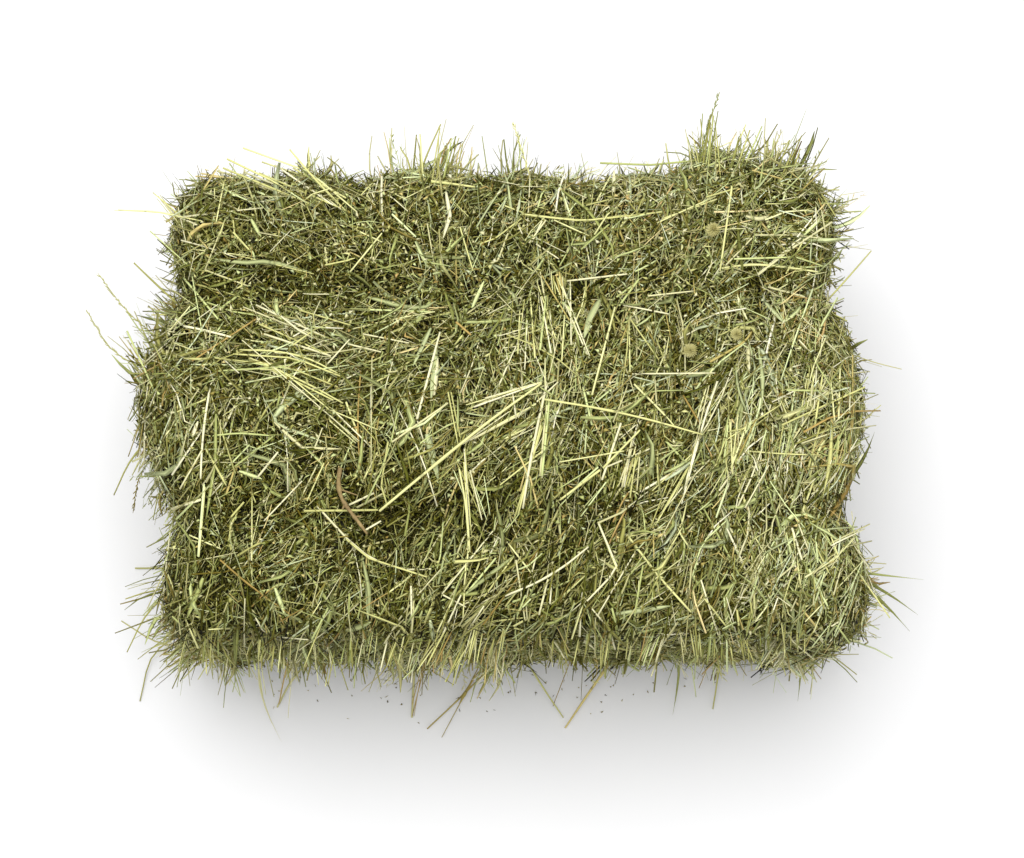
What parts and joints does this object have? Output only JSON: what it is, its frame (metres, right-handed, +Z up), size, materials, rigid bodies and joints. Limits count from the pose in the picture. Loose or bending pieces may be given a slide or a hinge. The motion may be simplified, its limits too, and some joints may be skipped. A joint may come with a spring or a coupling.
{
  "type": "square hay bale",
  "caption": "Small rectangular bale of pressed meadow hay lying on its broad side, with tie grooves and loose stalks sticking out.",
  "frame": {"origin": "middle of the base, on the floor the bale lies on", "axes": "+Z up, +X along the bale across its flakes, +Y across the bale towards its back"},
  "size_m": [0.8999, 0.6595, 0.3774],
  "materials": {
    "hay": "pressed dry meadow hay, matte",
    "stem": "dry green-yellow grass stem, waxy matte",
    "pale": "dry straw-yellow stem, waxy matte",
    "leaf": "dry grass blade, matte",
    "rust": "dry brown stem, matte",
    "twig": "dry woody stalk, rough",
    "clover": "dry clover head, matte"
  },
  "bodies": {
    "root": {"clover_head_back": "clover", "clover_head_middle": "clover", "clover_head_right": "clover", "flake_1": "hay", "flake_2": "hay", "flake_3": "hay", "flake_4": "hay", "flake_5": "hay", "flake_6": "hay", "flake_7": "hay", "leaf_folded": "leaf", "leaf_front_left_curl": "leaf", "leaf_front_right": "leaf", "leaf_low_middle": "leaf", "leaf_right_end": "leaf", "leaf_right_front_1": "leaf", "leaf_right_front_2": "leaf", "leaf_right_front_3": "leaf", "leaf_right_middle": "leaf", "leaf_right_middle_out": "leaf", "seed_stalk_back": "stem", "seed_stalk_left_hanging": "rust", "seed_stalk_left_lower": "stem", "seed_stalk_left_upper": "stem", "stalk_across_middle": "stem", "stalk_back_corner": "stem", "stalk_back_left": "stem", "stalk_back_right": "stem", "stalk_back_tall": "rust", "stalk_front_cross_1": "stem", "stalk_front_cross_2": "rust", "stalk_front_left": "pale", "stalk_front_right_drop": "leaf", "stalk_front_right_thin": "stem", "stalk_front_stub": "pale", "stalk_front_thick_1": "pale", "stalk_front_thick_2": "rust", "stalk_left_back": "stem", "stalk_left_front_floor": "stem", "stalk_left_front_lower": "pale", "stalk_left_front_slant": "stem", "stalk_left_hanging": "stem", "stalk_left_on_floor": "stem", "stalk_left_short": "pale", "stalk_left_top_edge": "pale", "stalk_left_upright": "pale", "stalk_low_slant": "pale", "stalk_orange": "rust", "stalk_pale_upright": "pale", "stalk_parting_upright": "stem", "stalk_red": "rust", "stalk_right_back": "stem", "stalk_right_slant": "pale", "stalk_right_thin": "stem", "stalk_right_wisp": "pale", "stalk_sheaf_lower": "stem", "stalk_sheaf_upper": "stem", "stalk_thick_yellow": "stem", "twig_bent": "twig"}
  },
  "joints": []
}
